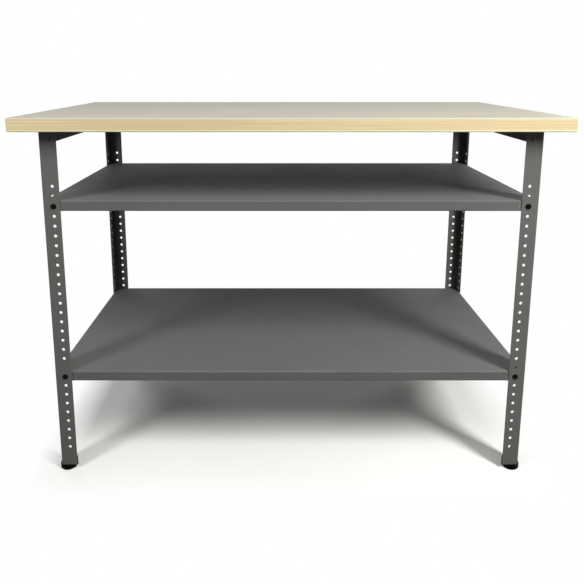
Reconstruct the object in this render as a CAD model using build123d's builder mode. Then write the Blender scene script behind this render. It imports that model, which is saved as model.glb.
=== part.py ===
from build123d import *
from math import sqrt
import os

# Assembly table: a laminated worktop on four perforated angle legs, with two bolted tray shelves.
# Millimetres. +X runs along the table, +Y from front to back, +Z up, and the floor is at Z = 0.

# --- Driving dimensions: worktop ---
table_length = 1200.0
table_depth = 600.0
table_height = 850.0
worktop_thickness = 30.0
laminate_thickness = 0.8
backing_thickness = 0.8
edge_band_thickness = 3.0
edge_band_radius = 2.5

# --- Driving dimensions: frame ---
end_overhang = 50.0  # the worktop reaches this far past the legs at each end
front_overhang = 40.0  # and this far past them at the front and at the back
leg_flange = 38.0
leg_wall = 1.8
leg_bend = 3.0  # outer radius of the angle's bend
rail_flange = 35.0
rail_wall = 1.8
rail_bend = 3.0
rail_end_gap = 1.5  # between a rail's end and the leg flange that it points at

# --- Driving dimensions: perforation ---
hole_diameter = 7.0
hole_line = 23.0  # from the outer corner of the angle to the row of holes
hole_pitch = 22.75
first_hole_drop = 124.0  # from the leg's top to the first hole of the row
last_hole_rise = 40.0  # the row stops at least this far from the leg's foot
top_hole_drop = 20.0  # from the leg's top to the single hole above the row
punched_hole_sides = 6  # flats of a punched hole, few because there are so many

# --- Driving dimensions: shelves ---
upper_shelf_hole = 2  # row hole that carries the shelf, counted from 0 at the top
lower_shelf_hole = 20
shelf_sheet = 1.0
shelf_rim = 24.0
shelf_lip = 12.0
shelf_bend = 3.0  # outer radius of the folds
shelf_hole_drop = 13.0  # from the shelf's top to the holes in its rims
shelf_corner_gap = 4.0  # the rims stop this far from the corner
joggle_start = 2.5  # the pressed step ends this far before the leg flange
joggle_run = 2.5  # length of the pressed step
stiffener_sheet = 1.0
stiffener_height = 15.0
stiffener_crown = 30.0
stiffener_flange = 14.0
stiffener_bend = 1.6  # outer radius of the crown's folds
stiffener_end_gap = 3.0

# --- Driving dimensions: feet ---
foot_base = 11.0
foot_radius = 19.5
foot_inset = 13.5  # from the leg's outer faces to the centre of the foot's round edge
foot_base_chamfer = 2.0
foot_plug_height = 22.0
foot_plug_wall = 2.6
foot_plug_tip = 2.0  # the plug reaches this far past the ends of the flanges
foot_plug_chamfer = 1.0
foot_clearance = 0.2
foot_lip = 0.8  # base in front of the plug's slanted wall

# --- Driving dimensions: fasteners ---
bolt_diameter = 6.0
bolt_length = 10.0
bolt_head_diameter = 12.5
bolt_head_height = 3.0
bolt_dome_height = 2.2
bolt_dome_inset = 2.8  # from the head's edge to the flat crown of its dome
head_sides = 8  # flats of a round head
shank_sides = 6  # flats of a round shank and of the bore around it
nut_sides = 6
nut_across_flats = 10.0
nut_height = 5.0
nut_clearance = 0.1
screw_diameter = 4.5
screw_length = 20.0
screw_head_diameter = 9.0
screw_head_height = 2.6
screw_dome_height = 1.6
screw_dome_inset = 1.4
screw_clearance = 0.1
screw_end_margin = 90.0  # from a rail's end to its outer screws
screws_per_rail = 2

# --- Places worked out from the driving dimensions ---
frame_length = table_length - 2 * end_overhang
frame_depth = table_depth - 2 * front_overhang
leg_top = table_height - worktop_thickness
leg_length = leg_top - foot_base
core_length = table_length - 2 * edge_band_thickness
core_depth = table_depth - 2 * edge_band_thickness
core_thickness = worktop_thickness - laminate_thickness - backing_thickness
hole_radius = hole_diameter / 2
hole_count = int((leg_length - first_hole_drop - last_hole_rise) / hole_pitch) + 1
hole_line_x = frame_length / 2 - hole_line
hole_line_y = frame_depth / 2 - hole_line
top_hole_z = leg_top - top_hole_drop
inner_face_x = frame_length / 2 - leg_wall
inner_face_y = frame_depth / 2 - leg_wall
rail_length = 2 * (inner_face_y - rail_end_gap)
left_and_right = ((-1, "left"), (1, "right"))
front_and_back = ((-1, "front"), (1, "back"))


def row_hole_z(index):
    """Height of one hole of the legs' rows."""
    return leg_top - first_hole_drop - index * hole_pitch


def shelf_top_z(index):
    """Height of the top of the shelf that hangs on one row hole."""
    return row_hole_z(index) + shelf_hole_drop


def front_plane(y):
    """A sketch plane facing the front, with X to the right and Z up."""
    return Plane(origin=(0, y, 0), x_dir=(1, 0, 0), z_dir=(0, -1, 0))


def side_plane(x):
    """A sketch plane facing right, with Y and Z as its axes."""
    return Plane(origin=(x, 0, 0), x_dir=(0, 1, 0), z_dir=(1, 0, 0))


def in_corner(piece, side_x, side_y):
    """The front-left piece, mirrored into the corner on the given sides."""
    placed = piece
    if side_x > 0:
        placed = mirror(placed, about=Plane.YZ, mode=Mode.PRIVATE)
    if side_y > 0:
        placed = mirror(placed, about=Plane.XZ, mode=Mode.PRIVATE)
    return placed


def screw_places():
    """Where the worktop screws stand, seen from above, on the middle of the rails' top flanges."""
    screw_x = inner_face_x - rail_flange / 2
    span = rail_length - 2 * screw_end_margin
    step = span / (screws_per_rail - 1)
    return [
        (side_x * screw_x, index * step - span / 2)
        for side_x, _ in left_and_right
        for index in range(screws_per_rail)
    ]


# --- Worktop ---
def build_core():
    """Chipboard core, with pilot holes for the screws that come up through the rails."""
    with BuildPart() as core:
        with BuildSketch(Plane.XY.offset(leg_top + backing_thickness)):
            Rectangle(core_length, core_depth)
        extrude(amount=core_thickness)
        with BuildSketch(Plane.XY.offset(leg_top)):
            with Locations(*screw_places()):
                RegularPolygon(screw_diameter / 2 + screw_clearance, shank_sides)
        extrude(amount=screw_length - rail_wall + screw_clearance, mode=Mode.SUBTRACT)
    return core.part


def build_laminate():
    """Hard laminate glued on the core's top."""
    with BuildPart() as laminate:
        with BuildSketch(Plane.XY.offset(table_height)):
            Rectangle(core_length, core_depth)
        extrude(amount=-laminate_thickness)
    return laminate.part


def build_backing():
    """Thin balancing sheet under the core, drilled for the screws."""
    with BuildPart() as backing:
        with BuildSketch(Plane.XY.offset(leg_top)):
            Rectangle(core_length, core_depth)
            with Locations(*screw_places()):
                RegularPolygon(
                    screw_diameter / 2 + screw_clearance, shank_sides, mode=Mode.SUBTRACT
                )
        extrude(amount=backing_thickness)
    return backing.part


def build_long_band(side_y):
    """Front or back edge band: it runs the full length and its outer face is rounded all round."""
    with BuildPart() as band:
        with BuildSketch(front_plane(side_y * table_depth / 2)):
            with Locations((0, table_height - worktop_thickness / 2)):
                Rectangle(table_length, worktop_thickness)
        extrude(amount=side_y * edge_band_thickness)
        outer = band.faces().sort_by(Axis.Y)[0 if side_y < 0 else -1]
        fillet(outer.edges(), radius=edge_band_radius)
    return band.part


def build_end_band(side_x):
    """Left or right edge band: it lies between the long ones."""
    with BuildPart() as band:
        with BuildSketch(side_plane(side_x * table_length / 2)):
            with Locations((0, table_height - worktop_thickness / 2)):
                Rectangle(core_depth, worktop_thickness)
        extrude(amount=-side_x * edge_band_thickness)
        outer = band.faces().sort_by(Axis.X)[0 if side_x < 0 else -1]
        fillet(outer.edges().filter_by(Axis.Y), radius=edge_band_radius)
    return band.part


# --- Legs ---
def build_leg():
    """Front-left leg: an equal angle with its corner outwards and both flanges perforated."""
    corner_x = -frame_length / 2
    corner_y = -frame_depth / 2
    row_middle_z = (row_hole_z(0) + row_hole_z(hole_count - 1)) / 2
    with BuildPart() as leg:
        with BuildSketch(Plane.XY.offset(foot_base)):
            with BuildLine():
                outside = FilletPolyline(
                    (corner_x + leg_flange, corner_y),
                    (corner_x, corner_y),
                    (corner_x, corner_y + leg_flange),
                    radius=leg_bend,
                )
                inside = FilletPolyline(
                    (corner_x + leg_wall, corner_y + leg_flange),
                    (corner_x + leg_wall, corner_y + leg_wall),
                    (corner_x + leg_flange, corner_y + leg_wall),
                    radius=leg_bend - leg_wall,
                )
                Line(outside @ 1, inside @ 0)
                Line(inside @ 1, outside @ 0)
            make_face()
        extrude(amount=leg_length)
        with BuildSketch(front_plane(corner_y)):
            with Locations((-hole_line_x, row_middle_z)):
                with GridLocations(0, hole_pitch, 1, hole_count):
                    RegularPolygon(hole_radius, punched_hole_sides, major_radius=False)
            with Locations((-hole_line_x, top_hole_z)):
                Circle(hole_radius)
        extrude(amount=-leg_wall, mode=Mode.SUBTRACT)
        with BuildSketch(side_plane(corner_x)):
            with Locations((-hole_line_y, row_middle_z)):
                with GridLocations(0, hole_pitch, 1, hole_count):
                    RegularPolygon(hole_radius, punched_hole_sides, major_radius=False)
            with Locations((-hole_line_y, top_hole_z)):
                RegularPolygon(hole_radius, punched_hole_sides, major_radius=False)
        extrude(amount=leg_wall, mode=Mode.SUBTRACT)
    return leg.part


# --- Rails ---
def build_rail(side_x):
    """Angle under the board: one flange lies on the leg flanges, the other under the board."""
    with BuildPart() as rail:
        with BuildSketch(front_plane(-rail_length / 2)):
            with BuildLine():
                outer_x = side_x * inner_face_x
                inner_x = side_x * (inner_face_x - rail_flange)
                wall_x = side_x * (inner_face_x - rail_wall)
                low_z = leg_top - rail_flange
                outside = FilletPolyline(
                    (outer_x, low_z), (outer_x, leg_top), (inner_x, leg_top), radius=rail_bend
                )
                inside = FilletPolyline(
                    (inner_x, leg_top - rail_wall),
                    (wall_x, leg_top - rail_wall),
                    (wall_x, low_z),
                    radius=rail_bend - rail_wall,
                )
                Line(outside @ 1, inside @ 0)
                Line(inside @ 1, outside @ 0)
            make_face()
        extrude(amount=-rail_length)
        with BuildSketch(side_plane(side_x * inner_face_x)):
            with Locations((-hole_line_y, top_hole_z), (hole_line_y, top_hole_z)):
                RegularPolygon(hole_radius, punched_hole_sides, major_radius=False)
        extrude(amount=-side_x * rail_wall, mode=Mode.SUBTRACT)
        with BuildSketch(Plane.XY.offset(leg_top)):
            with Locations(*screw_places()):
                RegularPolygon(screw_diameter / 2 + screw_clearance, shank_sides)
        extrude(amount=-rail_wall, mode=Mode.SUBTRACT)
    return rail.part


# --- Shelves ---
def tray_section(plane, half_width, top, lip):
    """Section of a folded tray, open downwards; lip is how far its lower edges turn in."""
    with BuildSketch(plane) as section:
        with BuildLine():
            low = top - shelf_rim
            corners = [(-half_width, low), (-half_width, top), (half_width, top), (half_width, low)]
            if lip:
                corners.insert(0, (-half_width + lip, low))
                corners.append((half_width - lip, low))
            folded = FilletPolyline(*corners, radius=shelf_bend)
            offset(folded, amount=shelf_sheet, side=Side.RIGHT)
        make_face()
    return section.sketch


def build_shelf(index):
    """Tray folded down on all sides, its long rims pressed back to pass behind the leg flanges."""
    top = shelf_top_z(index)
    step_x = frame_length / 2 - leg_flange - joggle_start
    wide_x = step_x - joggle_run
    rim_end_x = inner_face_x - shelf_corner_gap
    rim_end_y = inner_face_y - shelf_corner_gap
    lip_end_y = rim_end_y - shelf_lip
    with BuildPart() as shelf:
        wide = tray_section(side_plane(-wide_x), frame_depth / 2, top, shelf_lip)
        extrude(wide, amount=2 * wide_x)
        for side_x, _ in left_and_right:
            near = tray_section(side_plane(side_x * wide_x), frame_depth / 2, top, 0)
            far = tray_section(side_plane(side_x * step_x), inner_face_y, top, 0)
            loft([near, far], ruled=True)
            extrude(far, amount=side_x * (rim_end_x - step_x))
        side_rims = tray_section(front_plane(rim_end_y), inner_face_x, top, 0)
        extrude(side_rims, amount=2 * rim_end_y)
        side_lips = tray_section(front_plane(lip_end_y), inner_face_x, top, shelf_lip)
        extrude(side_lips, amount=2 * lip_end_y)
        with BuildSketch(front_plane(-inner_face_y)):
            with Locations((-hole_line_x, row_hole_z(index)), (hole_line_x, row_hole_z(index))):
                RegularPolygon(hole_radius, punched_hole_sides, major_radius=False)
        extrude(amount=-2 * inner_face_y, mode=Mode.SUBTRACT)
        with BuildSketch(side_plane(-inner_face_x)):
            with Locations((-hole_line_y, row_hole_z(index)), (hole_line_y, row_hole_z(index))):
                RegularPolygon(hole_radius, punched_hole_sides, major_radius=False)
        extrude(amount=2 * inner_face_x, mode=Mode.SUBTRACT)
    return shelf.part


def build_stiffener(index):
    """Hat-shaped channel welded under the middle of a shelf, from side rim to side rim."""
    under = shelf_top_z(index) - shelf_sheet
    half_crown = stiffener_crown / 2
    half_width = half_crown + stiffener_flange
    half_length = inner_face_x - shelf_sheet - stiffener_end_gap
    flange_z = under - stiffener_sheet
    crown_z = under - stiffener_height
    with BuildPart() as stiffener:
        with BuildSketch(side_plane(-half_length)):
            with BuildLine():
                hat = FilletPolyline(
                    (-half_width, flange_z),
                    (-half_crown, flange_z),
                    (-half_crown, crown_z),
                    (half_crown, crown_z),
                    (half_crown, flange_z),
                    (half_width, flange_z),
                    radius=(0, stiffener_bend, stiffener_bend, 0),
                )
                offset(hat, amount=stiffener_sheet, kind=Kind.INTERSECTION, side=Side.LEFT)
            make_face()
        extrude(amount=2 * half_length)
    return stiffener.part


# --- Feet ---
def build_foot():
    """Front-left foot: a round-edged base under the angle's end and a hollow plug inside it."""
    corner_x = -frame_length / 2
    corner_y = -frame_depth / 2
    middle_x = corner_x + foot_inset
    middle_y = corner_y + foot_inset
    seat = leg_wall + foot_clearance
    tip = leg_flange + foot_plug_tip
    slant_reach = (seat + tip - 2 * foot_inset) / sqrt(2) + foot_lip
    with BuildPart() as foot:
        with BuildSketch():
            with Locations((middle_x, middle_y)):
                Circle(foot_radius)
            with Locations(Location((middle_x, middle_y, 0), (0, 0, 45))):
                with Locations((slant_reach - foot_radius, 0)):
                    Rectangle(2 * foot_radius, 2 * foot_radius, mode=Mode.INTERSECT)
        extrude(amount=foot_base)
        chamfer(foot.faces().sort_by(Axis.Z)[0].edges(), length=foot_base_chamfer)
        with BuildSketch(Plane.XY.offset(foot_base)) as plug:
            with BuildLine():
                Polyline(
                    (corner_x + seat, corner_y + seat),
                    (corner_x + tip, corner_y + seat),
                    (corner_x + seat, corner_y + tip),
                    close=True,
                )
            make_face()
            chamfer(plug.vertices(), length=foot_plug_chamfer)
        extrude(amount=foot_plug_height)
        with BuildSketch(Plane.XY.offset(foot_base)):
            add(plug.sketch)
            offset(amount=-foot_plug_wall, kind=Kind.INTERSECTION, mode=Mode.REPLACE)
        extrude(amount=foot_plug_height, mode=Mode.SUBTRACT)
    return foot.part


def build_feet():
    """All four feet, one in each corner."""
    front_left = build_foot()
    with BuildPart() as feet:
        for side_x, _ in left_and_right:
            for side_y, _ in front_and_back:
                add(in_corner(front_left, side_x, side_y))
    return feet.part


# --- Fasteners ---
def front_seats(z):
    """Bolt seats on the legs' front and back faces at one height, each a plane facing outwards."""
    return [
        Plane(
            origin=(side_x * hole_line_x, side_y * frame_depth / 2, z),
            x_dir=(1, 0, 0),
            z_dir=(0, side_y, 0),
        )
        for side_x, _ in left_and_right
        for side_y, _ in front_and_back
    ]


def side_seats(z):
    """Bolt seats on the legs' left and right faces at one height, each a plane facing outwards."""
    return [
        Plane(
            origin=(side_x * frame_length / 2, side_y * hole_line_y, z),
            x_dir=(0, 1, 0),
            z_dir=(side_x, 0, 0),
        )
        for side_x, _ in left_and_right
        for side_y, _ in front_and_back
    ]


def domed_fastener(head_diameter, head_height, dome_height, dome_inset, diameter, length):
    """A fastener seated at the origin, with its domed head above and its shank below."""
    with BuildPart() as fastener:
        with BuildSketch():
            RegularPolygon(head_diameter / 2, head_sides)
        extrude(amount=head_height)
        crown = fastener.faces().sort_by(Axis.Z)[-1]
        chamfer(crown.edges(), length=dome_inset, length2=dome_height, reference=crown)
        with BuildSketch():
            RegularPolygon(diameter / 2, shank_sides)
        extrude(amount=-length)
    return fastener.part


def build_bolts(seats):
    """Domed bolts, one on each seat, with their shanks pointing into the table."""
    bolt = domed_fastener(
        bolt_head_diameter,
        bolt_head_height,
        bolt_dome_height,
        bolt_dome_inset,
        bolt_diameter,
        bolt_length,
    )
    with BuildPart() as bolts:
        with Locations(*seats):
            add(bolt)
    return bolts.part


def build_nuts(seats, grip):
    """Hexagon nuts on the bolts; grip is the thickness that each bolt clamps."""
    with BuildPart() as nuts:
        with BuildSketch(*[seat.offset(-grip) for seat in seats]):
            RegularPolygon(nut_across_flats / 2, nut_sides, major_radius=False)
            RegularPolygon(bolt_diameter / 2 + nut_clearance, shank_sides, mode=Mode.SUBTRACT)
        extrude(amount=-nut_height)
    return nuts.part


def build_screws():
    """Pan-head wood screws, up through the rails into the board."""
    screw = domed_fastener(
        screw_head_diameter,
        screw_head_height,
        screw_dome_height,
        screw_dome_inset,
        screw_diameter,
        screw_length,
    )
    under_rail = leg_top - rail_wall
    seats = [
        Plane(origin=(x, y, under_rail), x_dir=(1, 0, 0), z_dir=(0, 0, -1))
        for x, y in screw_places()
    ]
    with BuildPart() as screws:
        with Locations(*seats):
            add(screw)
    return screws.part


# --- All pieces ---
def all_pieces():
    """Every piece of the table by its name."""
    pieces = {
        "worktop_core": build_core(),
        "worktop_laminate": build_laminate(),
        "worktop_backing": build_backing(),
        "worktop_screws": build_screws(),
        "feet": build_feet(),
    }
    front_left_leg = build_leg()
    for side_x, across in left_and_right:
        pieces[f"edge_band_{across}"] = build_end_band(side_x)
        pieces[f"side_rail_{across}"] = build_rail(side_x)
        for side_y, along in front_and_back:
            pieces[f"leg_{along}_{across}"] = in_corner(front_left_leg, side_x, side_y)
    for side_y, along in front_and_back:
        pieces[f"edge_band_{along}"] = build_long_band(side_y)
    for level, index in (("upper", upper_shelf_hole), ("lower", lower_shelf_hole)):
        seats = front_seats(row_hole_z(index)) + side_seats(row_hole_z(index))
        pieces[f"{level}_shelf"] = build_shelf(index)
        pieces[f"{level}_shelf_stiffener"] = build_stiffener(index)
        pieces[f"{level}_shelf_bolts"] = build_bolts(seats)
        pieces[f"{level}_shelf_nuts"] = build_nuts(seats, leg_wall + shelf_sheet)
    pieces["rail_bolts"] = build_bolts(side_seats(top_hole_z))
    pieces["rail_nuts"] = build_nuts(side_seats(top_hole_z), leg_wall + rail_wall)
    return pieces


os.makedirs("parts", exist_ok=True)
for name, piece in all_pieces().items():
    piece.label = name
    export_step(piece, f"parts/{name}.step")
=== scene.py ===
"""Looks of the assembly table: finishes, fine punched legs, fasteners, camera and studio.

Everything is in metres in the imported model's own frame: +X runs along the table, +Y from front
to back, +Z up, and the floor is at Z = 0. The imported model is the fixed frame. Boards, shelves,
rails, stiffeners and feet keep its meshes, with softened edges and new finishes. Legs, bolts,
nuts and screws are made again here, with round holes, domes, sockets and threads.
"""

import logging
import math
from dataclasses import dataclass, field
from enum import Enum
from typing import (
    Callable, ClassVar, Dict, Iterable, List, Mapping, Optional, Sequence, Tuple, Union
)

import bmesh
import bpy
from mathutils import Matrix, Vector

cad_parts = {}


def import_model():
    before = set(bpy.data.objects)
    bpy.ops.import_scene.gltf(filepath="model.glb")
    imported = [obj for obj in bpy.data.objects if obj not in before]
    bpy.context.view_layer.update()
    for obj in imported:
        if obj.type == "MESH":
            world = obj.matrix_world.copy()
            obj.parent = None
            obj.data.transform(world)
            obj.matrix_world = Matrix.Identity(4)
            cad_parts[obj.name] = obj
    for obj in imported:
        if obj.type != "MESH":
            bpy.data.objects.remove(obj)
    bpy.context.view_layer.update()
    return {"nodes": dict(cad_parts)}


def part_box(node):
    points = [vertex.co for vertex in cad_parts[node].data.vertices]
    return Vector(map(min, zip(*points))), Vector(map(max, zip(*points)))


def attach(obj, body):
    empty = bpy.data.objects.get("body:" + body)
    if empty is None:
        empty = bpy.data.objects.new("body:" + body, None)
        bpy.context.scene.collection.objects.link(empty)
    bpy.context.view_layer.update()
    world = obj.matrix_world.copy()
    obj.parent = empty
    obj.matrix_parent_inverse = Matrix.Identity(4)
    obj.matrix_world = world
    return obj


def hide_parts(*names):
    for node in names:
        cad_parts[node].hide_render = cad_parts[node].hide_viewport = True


LOG = logging.getLogger("assembly_table")

MM = 0.001

# Nearly all of a noise lies between the low and the high value.
NOISE_LOW = 0.3
NOISE_MIDDLE = 0.5
NOISE_HIGH = 0.7

Socket = bpy.types.NodeSocket
Sockets = Mapping[str, Socket]
Colour = Tuple[float, float, float]
Value = Union[float, Sequence[float], Socket]
Point = Tuple[float, float, float]
Place = Callable[[float, float, float], Point]


# --- Node graphs -------------------------------------------------------------------------------


class Graph:
    """A shader tree in which each call adds one node and returns the output that it makes."""

    def __init__(self, tree: bpy.types.NodeTree) -> None:
        """Works in the given tree, which may be a material's, a world's or a group's."""
        self.tree = tree

    def node(self, kind: str, **settings: object) -> bpy.types.Node:
        """Adds a node.

        Args:
            kind: Blender's name for the type of node.
            **settings: Properties to set on the node.

        Returns:
            The new node.
        """
        made = self.tree.nodes.new(kind)
        for name, value in settings.items():
            setattr(made, name, value)
        return made

    def feed(self, socket: Socket, value: Value) -> None:
        """Links an output to a socket, or sets the socket to a plain value.

        Args:
            socket: The input that takes the value.
            value: A number, a vector, a colour of three or another node's output.
        """
        if isinstance(value, bpy.types.NodeSocket):
            self.tree.links.new(value, socket)
        elif socket.type == "RGBA" and len(value) == 3:
            socket.default_value = (*value, 1.0)
        else:
            socket.default_value = value

    def _fed(self, made: bpy.types.Node, values: Iterable[Value]) -> Sequence[Socket]:
        """Feeds a node's first inputs in order.

        Args:
            made: The node.
            values: What its inputs take.

        Returns:
            The node's outputs.
        """
        for socket, value in zip(made.inputs, values):
            self.feed(socket, value)
        return made.outputs

    def place(self) -> Socket:
        """The point being shaded, in metres in the table's own frame."""
        return self.node("ShaderNodeTexCoord").outputs["Object"]

    def calc(self, operation: str, first: Value, second: Value) -> Socket:
        """Does one sum on two numbers, by Blender's name for the sum."""
        return self._fed(self.node("ShaderNodeMath", operation=operation), (first, second))[0]

    def vector(self, operation: str, *values: Value) -> Sequence[Socket]:
        """Does one sum on vectors, with the vector as first output and the number as "Value"."""
        return self._fed(self.node("ShaderNodeVectorMath", operation=operation), values)

    def noise(self, vector: Value, scale: Value, detail: float) -> Socket:
        """Soft noise from 0 to 1.

        Args:
            vector: Where to read it.
            scale: Waves per metre.
            detail: Number of finer layers.

        Returns:
            The noise's value.
        """
        made = self.node("ShaderNodeTexNoise")
        self.feed(made.inputs["Vector"], vector)
        self.feed(made.inputs["Scale"], scale)
        self.feed(made.inputs["Detail"], detail)
        return made.outputs[0]

    def remap(
        self,
        value: Value,
        low: Value,
        high: Value,
        to_low: Value = 0.0,
        to_high: Value = 1.0,
    ) -> Socket:
        """Maps the range from low to high to the one from to_low to to_high, and clamps to it."""
        made = self.node("ShaderNodeMapRange")
        return self._fed(made, (value, low, high, to_low, to_high))[0]

    def blend(self, share: Value, first: Value, second: Value) -> Socket:
        """Mixes two colours.

        Args:
            share: How much of the second colour shows, from 0 to 1.
            first: The colour at 0.
            second: The colour at 1.

        Returns:
            The mixed colour.
        """
        made = self.node("ShaderNodeMix", data_type="RGBA")
        self.feed(made.inputs[0], share)
        self.feed(made.inputs[6], first)
        self.feed(made.inputs[7], second)
        return made.outputs[2]

    def mix(self, share: Value, first: Socket, second: Socket) -> Socket:
        """Mixes two shaders, by the second one's share."""
        return self._fed(self.node("ShaderNodeMixShader"), (share, first, second))[0]

    def split(self, vector: Value) -> Sequence[Socket]:
        """The X, Y and Z of a vector."""
        return self._fed(self.node("ShaderNodeSeparateXYZ"), (vector,))

    def join(self, x: Value, y: Value, z: Value) -> Socket:
        """A vector of three numbers."""
        return self._fed(self.node("ShaderNodeCombineXYZ"), (x, y, z))[0]

    def bump(self, height: Value, depth: float) -> Socket:
        """The normal of a surface with a fine relief.

        Args:
            height: The relief, from 0 to 1.
            depth: Height of the relief in metres.

        Returns:
            The normal.
        """
        made = self.node("ShaderNodeBump")
        self.feed(made.inputs["Distance"], depth)
        self.feed(made.inputs["Height"], height)
        return made.outputs["Normal"]

    def effect(self, group: bpy.types.NodeTree, **inputs: Value) -> Socket:
        """Places a shared effect.

        Args:
            group: The effect's node group.
            **inputs: Values for the group's named inputs, with _ for a space.

        Returns:
            The group's output.
        """
        made = self.node("ShaderNodeGroup", node_tree=group)
        for name, value in inputs.items():
            self.feed(made.inputs[name.replace("_", " ")], value)
        return made.outputs[0]


class SocketKind(Enum):
    """Kinds of input and output that a shared effect may have."""

    NUMBER = "NodeSocketFloat"
    COLOUR = "NodeSocketColor"


@dataclass(frozen=True)
class Effects:
    """The shader effects that are placed more than once, each a node group."""

    relief: bpy.types.NodeTree
    drift: bpy.types.NodeTree
    wear: bpy.types.NodeTree
    dust: bpy.types.NodeTree
    fibres: bpy.types.NodeTree

    @classmethod
    def build(cls) -> "Effects":
        """Makes every group once.

        Returns:
            The groups.
        """
        number, colour = SocketKind.NUMBER, SocketKind.COLOUR
        relief_inputs = {"Waves": number, "Grain": number, "Grain share": number}
        drift_inputs = {
            "Tone": colour,
            "Other tone": colour,
            "Patches": number,
            "Flecks": number,
            "Fleck share": number,
        }
        wear_inputs = {"Width": number, "Breaks": number, "Amount": number}
        dust_inputs = {"Clouds": number, "Amount": number}
        fibre_inputs = {"Length": number, "Fineness": number, "Wander": number}
        return cls(
            relief=cls._group("Skin relief", relief_inputs, "Height", number, cls._relief),
            drift=cls._group("Tone drift", drift_inputs, "Colour", colour, cls._drift),
            wear=cls._group("Worn and highlit edges", wear_inputs, "Mask", number, cls._wear),
            dust=cls._group("Settled dust", dust_inputs, "Mask", number, cls._dust),
            fibres=cls._group("Long fibres", fibre_inputs, "Lines", number, cls._fibres),
        )

    @staticmethod
    def _group(
        name: str,
        inputs: Dict[str, SocketKind],
        output: str,
        kind: SocketKind,
        work: Callable[[Graph, Sockets], Socket],
    ) -> bpy.types.NodeTree:
        """Makes a node group.

        Args:
            name: The group's name.
            inputs: The kind of each named input.
            output: Name of the one output.
            kind: Kind of the output.
            work: Adds the nodes between the inputs and the output.

        Returns:
            The group.
        """
        tree = bpy.data.node_groups.new(name, "ShaderNodeTree")
        for label, socket_kind in inputs.items():
            tree.interface.new_socket(label, in_out="INPUT", socket_type=socket_kind.value)
        tree.interface.new_socket(output, in_out="OUTPUT", socket_type=kind.value)
        graph = Graph(tree)
        given = graph.node("NodeGroupInput").outputs
        result = graph.node("NodeGroupOutput").inputs[0]
        graph.feed(result, work(graph, given))
        return tree

    @staticmethod
    def _relief(graph: Graph, given: Sockets) -> Socket:
        """Fine relief of a sprayed or moulded skin: soft waves with a finer grain on them.

        Args:
            graph: The group's graph.
            given: Its inputs.

        Returns:
            The height.
        """
        place = graph.place()
        waves = graph.noise(place, given["Waves"], detail=1.0)
        grain = graph.noise(place, given["Grain"], detail=2.0)
        return graph.calc("ADD", waves, graph.calc("MULTIPLY", grain, given["Grain share"]))

    @staticmethod
    def _drift(graph: Graph, given: Sockets) -> Socket:
        """Slow change from one tone to another over a large surface, with a fine fleck in it.

        Args:
            graph: The group's graph.
            given: Its inputs.

        Returns:
            The colour.
        """
        place = graph.place()
        patches = graph.noise(place, given["Patches"], detail=3.0)
        flecks = graph.noise(place, given["Flecks"], detail=1.0)
        centred = graph.calc("SUBTRACT", flecks, NOISE_MIDDLE)
        share = graph.calc("MULTIPLY", centred, given["Fleck share"])
        total = graph.calc("ADD", graph.remap(patches, NOISE_LOW, NOISE_HIGH), share)
        return graph.blend(total, given["Tone"], given["Other tone"])

    @staticmethod
    def _wear(graph: Graph, given: Sockets) -> Socket:
        """Mask of lighter edges, partly wear and partly a painted highlight, broken up so that no
        edge is even.

        Args:
            graph: The group's graph.
            given: Its inputs.

        Returns:
            The mask.
        """
        bevel = graph.node("ShaderNodeBevel", samples=4)
        graph.feed(bevel.inputs["Radius"], given["Width"])
        flat = graph.node("ShaderNodeNewGeometry").outputs["Normal"]
        alike = graph.vector("DOT_PRODUCT", bevel.outputs[0], flat)["Value"]
        edge = graph.remap(alike, low=0.999, high=0.9)
        spread = graph.noise(graph.place(), given["Breaks"], detail=4.0)
        mask = graph.calc("MULTIPLY", edge, graph.remap(spread, low=0.42, high=0.62))
        return graph.calc("MULTIPLY", mask, given["Amount"])

    @staticmethod
    def _dust(graph: Graph, given: Sockets) -> Socket:
        """Mask of fine dust that settles on what faces up.

        Args:
            graph: The group's graph.
            given: Its inputs.

        Returns:
            The mask.
        """
        normal = graph.node("ShaderNodeNewGeometry").outputs["Normal"]
        upward = graph.remap(graph.split(normal)[2], low=0.3, high=1.0)
        spread = graph.noise(graph.place(), given["Clouds"], detail=5.0)
        mask = graph.calc("MULTIPLY", upward, graph.remap(spread, low=0.35, high=0.75))
        return graph.calc("MULTIPLY", mask, given["Amount"])

    @staticmethod
    def _fibres(graph: Graph, given: Sockets) -> Socket:
        """Long thin lines along a board's edge, as in a wood print.

        Args:
            graph: The group's graph.
            given: Its inputs.

        Returns:
            The lines, from 0 to 1.
        """
        x, y, z = graph.split(graph.place())
        along = graph.calc("ADD", x, y)
        slow = graph.noise(graph.join(along, 0.0, 0.0), scale=3.0, detail=2.0)
        stray = graph.calc("SUBTRACT", slow, NOISE_MIDDLE)
        lift = graph.calc("MULTIPLY", stray, given["Wander"])
        across = graph.calc("MULTIPLY", graph.calc("ADD", z, lift), given["Fineness"])
        run = graph.calc("DIVIDE", along, given["Length"])
        return graph.noise(graph.join(run, 0.0, across), scale=1.0, detail=3.0)


# --- Finishes ----------------------------------------------------------------------------------


def new_material(
    name: str, roughness: float, gloss: float
) -> Tuple[bpy.types.Material, Graph, bpy.types.Node]:
    """Starts a material.

    Args:
        name: The material's name.
        roughness: How matt it is, from 0 to 1.
        gloss: How strongly it mirrors, 0.5 for plain plastic or lacquer.

    Returns:
        The material, its graph and its shader.
    """
    material = bpy.data.materials.new(name)
    material.use_nodes = True
    shader = material.node_tree.nodes["Principled BSDF"]
    shader.inputs["Roughness"].default_value = roughness
    shader.inputs["Specular IOR Level"].default_value = gloss
    return material, Graph(material.node_tree), shader


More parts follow.
